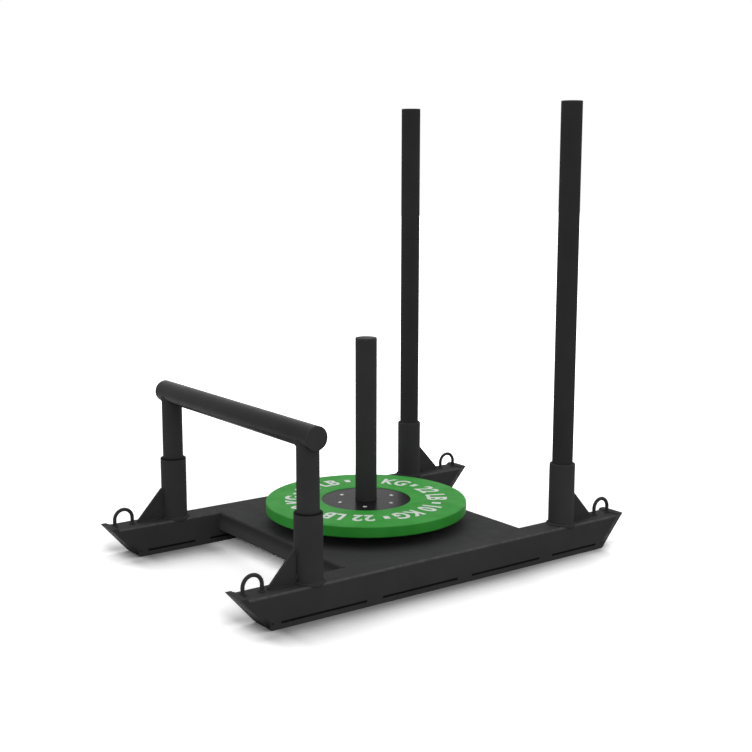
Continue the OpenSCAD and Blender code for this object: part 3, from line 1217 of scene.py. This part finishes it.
@dataclass
class Studio:
    """White floor, even light and the camera.

    Angles are degrees. The floor's bands are distances from the sled's middle lines, and those round
    the tips are distances from a runner's centre line and places along the sled.
    """

    place: Point = (2.23795, -1.61555, 0.86796)
    azimuth: float = 53.72
    elevation: float = 9.65
    roll: float = 0.10
    focal_px: float = 1263.7
    image_px: float = 752.0
    sensor: float = 36.0
    floor_half: float = 14.0
    bounce: float = 0.48
    floor_lift: float = 0.38
    contact_reach: float = 0.18
    contact_samples: int = 16
    contact_shade: float = 0.26
    contact_band: Band = (0.57, 0.95)
    contact_power: float = 1.5
    runner_across: Band = (0.06, 0.20)
    tip_along: Band = (0.420, 0.480)
    tip_shade: float = 1.30
    deck_along: Band = (0.295, 0.205)
    deck_across: Band = (0.30, 0.25)
    deck_lift: float = 1.9
    deck_power: float = 2.0
    rear_along: Band = (0.15, 0.38)
    rear_across: Band = (0.29, 0.33)
    rear_lift: float = 0.35
    tip_shadow_across: tuple[Band, Band] = ((0.005, 0.055), (0.160, 0.060))
    tip_shadow_along: tuple[Band, Band] = ((-0.395, -0.455), (-0.530, -0.465))
    tip_shadow_factor: float = 0.50
    zenith: float = 0.98
    horizon: float = 0.42
    lamp_place: Point = (-0.6, 0.3, 3.2)
    lamp_aim: Point = (0, 0, 0.2)
    lamp_size: float = 1.1
    lamp_watts: float = 12.0

    def camera(self) -> None:
        """Sets the camera where the photograph was taken from.

        Its back vector is (sin a cos e, -cos a cos e, sin e) for azimuth a and elevation e, its right
        vector (cos a, sin a, 0), and both are then rolled.
        """
        a, e, r = (math.radians(v) for v in (self.azimuth, self.elevation, self.roll))
        back = Vector((math.sin(a) * math.cos(e), -math.cos(a) * math.cos(e), math.sin(e)))
        right = Vector((math.cos(a), math.sin(a), 0))
        up = back.cross(right)
        right, up = math.cos(r) * right + math.sin(r) * up, -math.sin(r) * right + math.cos(r) * up
        data = bpy.data.cameras.new("camera")
        data.sensor_width = self.sensor
        data.lens = self.focal_px / self.image_px * self.sensor
        camera = bpy.data.objects.new("camera", data)
        turn = Matrix((right, up, back)).transposed()
        camera.matrix_world = Matrix.Translation(self.place) @ turn.to_4x4()
        bpy.context.scene.collection.objects.link(camera)
        bpy.context.scene.camera = camera

    def contact(self, nodes: NodeTree) -> Socket:
        """How bright the floor's tone is near the sled, 1 for the open floor: a painted shadow in its
        colour.

        It darkens beside the runners with the share of the sky that the sled hides, is lifted under the
        deck and beside the rear, where little shadow shows, and darkens again round the front tips.

        Args:
            nodes: The floor's nodes.

        Returns:
            The brightness.
        """
        settings = {"samples": self.contact_samples}
        open_sky = nodes.add("AmbientOcclusion", settings, {"Distance": self.contact_reach}).outputs["AO"]
        near = nodes.ramp(open_sky, *self.contact_band)
        shade = nodes.ramp(nodes.math("POWER", near, self.contact_power), 0.0, 1.0, self.contact_shade)
        across, along, y = nodes.distance("X"), nodes.distance("Y"), nodes.axis("Y")
        flank = nodes.ramp(along, *self.tip_along, shade, nodes.math("MAXIMUM", shade, self.tip_shade))
        beside = nodes.ramp(across, *self.runner_across, 1.0, flank)
        rise = nodes.math("POWER", nodes.ramp(along, *self.deck_along), self.deck_power)
        under = nodes.times(rise, self.deck_lift, nodes.ramp(across, *self.deck_across))
        rear = nodes.ramp(y, *self.rear_along, 0.0, self.rear_lift)
        rear = nodes.times(rear, nodes.ramp(across, *self.rear_across))
        lifted = nodes.math("ADD", nodes.math("ADD", beside, under), rear)
        # Painted shadow round the front tips, beside each runner.
        foot = nodes.distance("X", RUNNER_X)
        tip_shadow_sides = nodes.times(*(nodes.ramp(foot, *band) for band in self.tip_shadow_across))
        front = nodes.times(*(nodes.ramp(y, *band) for band in self.tip_shadow_along))
        tips = nodes.times(tip_shadow_sides, front)
        return nodes.times(lifted, nodes.ramp(tips, 0.0, 1.0, 1.0, self.tip_shadow_factor))

    def floor(self) -> None:
        """Lays the floor: plain white paper that keeps the sled's shadow, with painted shadow in its
        colour near the sled.

        What the camera, gloss and glass see is brighter than what lights the sled, so the open floor is
        white and only the shadow near the skids shows.
        """
        nodes = NodeTree(bpy.data.materials.new("studio_floor"))
        path = nodes.add("LightPath").outputs
        mirrored = nodes.math("MAXIMUM", path["Is Glossy Ray"], path["Is Transmission Ray"])
        contact = self.contact(nodes)
        tint = nodes.add("CombineColor", inputs={"Red": contact, "Green": contact, "Blue": contact})
        tint = tint.outputs["Color"]
        seen, more, white, plain = (
            nodes.add("BsdfDiffuse", inputs={"Color": colour}).outputs[0]
            for colour in (tint, nodes.blend(self.floor_lift, (0, 0, 0), tint), (1, 1, 1, 1),
                           (self.bounce, self.bounce, self.bounce, 1)))
        bright = nodes.add("AddShader", inputs={0: seen, 1: more}).outputs[0]
        lit = nodes.add("MixShader", inputs={0: mirrored, 1: plain, 2: white}).outputs[0]
        mixed = nodes.add("MixShader", inputs={0: path["Is Camera Ray"], 1: lit, 2: bright}).outputs[0]
        nodes.add("OutputMaterial", inputs={"Surface": mixed})
        s = self.floor_half
        points = np.array([[-s, -s, 0], [s, -s, 0], [s, s, 0], [-s, s, 0]], float)
        floor = make_piece("studio_floor", points, [[0, 1, 2, 3]], nodes.owner)

    def world(self) -> None:
        """A sky that is brighter overhead than at the horizon, and looks white to the camera.

        Its strength rises in a straight line with the height of the direction that is looked at.
        """
        nodes = NodeTree(bpy.data.worlds.new("studio_world"))
        direction = nodes.add("TexCoord").outputs["Generated"]
        height = nodes.add("SeparateXYZ", inputs={"Vector": direction}).outputs["Z"]
        rise = nodes.ramp(height, 0.0, 1.0, self.horizon, self.zenith)
        looked_at = nodes.math("SUBTRACT", 1.0, nodes.add("LightPath").outputs["Is Diffuse Ray"])
        strength = nodes.ramp(looked_at, 0.0, 1.0, rise, 1.0)
        sky = nodes.add("Background", inputs={"Color": (1, 1, 1, 1), "Strength": strength})
        nodes.add("OutputWorld", inputs={"Surface": sky.outputs["Background"]})
        bpy.context.scene.world = nodes.owner

    def lamp(self) -> None:
        """Hangs one square soft box over the sled."""
        data = bpy.data.lights.new("overhead_box", "AREA")
        data.size = self.lamp_size
        data.energy = self.lamp_watts
        lamp = bpy.data.objects.new("overhead_box", data)
        lamp.location = self.lamp_place
        aim = Vector(self.lamp_aim) - Vector(self.lamp_place)
        lamp.rotation_euler = aim.to_track_quat("-Z", "Y").to_euler()
        bpy.context.scene.collection.objects.link(lamp)

    def build(self) -> None:
        """Sets up the whole studio."""
        self.world()
        self.floor()
        self.lamp()
        self.camera()
        bpy.context.scene.view_settings.view_transform = "Standard"


def dress(node: str, material: Material) -> None:
    """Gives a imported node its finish.

    Args:
        node: The node's name.
        material: The finish.
    """
    piece = frame["nodes"][node]
    piece.data.materials.clear()
    piece.data.materials.append(material)


def dress_sled() -> dict[Slot, Material]:
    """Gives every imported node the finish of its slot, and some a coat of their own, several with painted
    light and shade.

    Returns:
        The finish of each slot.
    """
    finishes = {
        Slot.COAT: PowderCoat().material(),
        Slot.CAP: CapCoat().material(),
        Slot.RUBBER: PlateRubber(face=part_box("plate_rubber")[1].z).material(),
        Slot.HUB: HubSteel().material(),
        Slot.ZINC: ZincPlating().material(),
    }
    for row in frame["record"]["subparts"]:
        dress(row["node"], finishes[Slot(row["material_slot"])])
    # The runners, skids, front sockets and deck get coats with painted highlights and painted shade.
    runner, pole = RunnerCoat().material(), PoleCoat().material()
    mouth = MouthCoat(mouth=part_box("front_left_socket")[1].z).material()
    for side in Side:
        name = side.name.lower()
        skid = SkidCoat(f"{name}_skid_powder_coat", middle=side.value * RUNNER_X)
        dress(f"{name}_runner", runner)
        dress(f"{name}_skid", skid.material())
        dress(f"{name}_pole", pole)
        dress(f"front_{name}_socket", mouth)
    dress("deck_pan", DeckCoat().material())
    dress("push_bar", HandledCoat().material())
    return finishes


def main() -> None:
    """Dresses the sled, adds the welds and the plate's details, and sets the studio around it."""
    logging.basicConfig(level=logging.INFO, format="%(message)s")
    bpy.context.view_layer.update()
    finishes = dress_sled()
    coat = finishes[Slot.COAT]
    SledBase(coat).build()
    WeightPost(coat).build()
    PushBar(coat).build()
    BumperPlate(finishes[Slot.RUBBER], MarkPaint().material()).build()
    Studio().build()


if __name__ == "__main__":
    main()
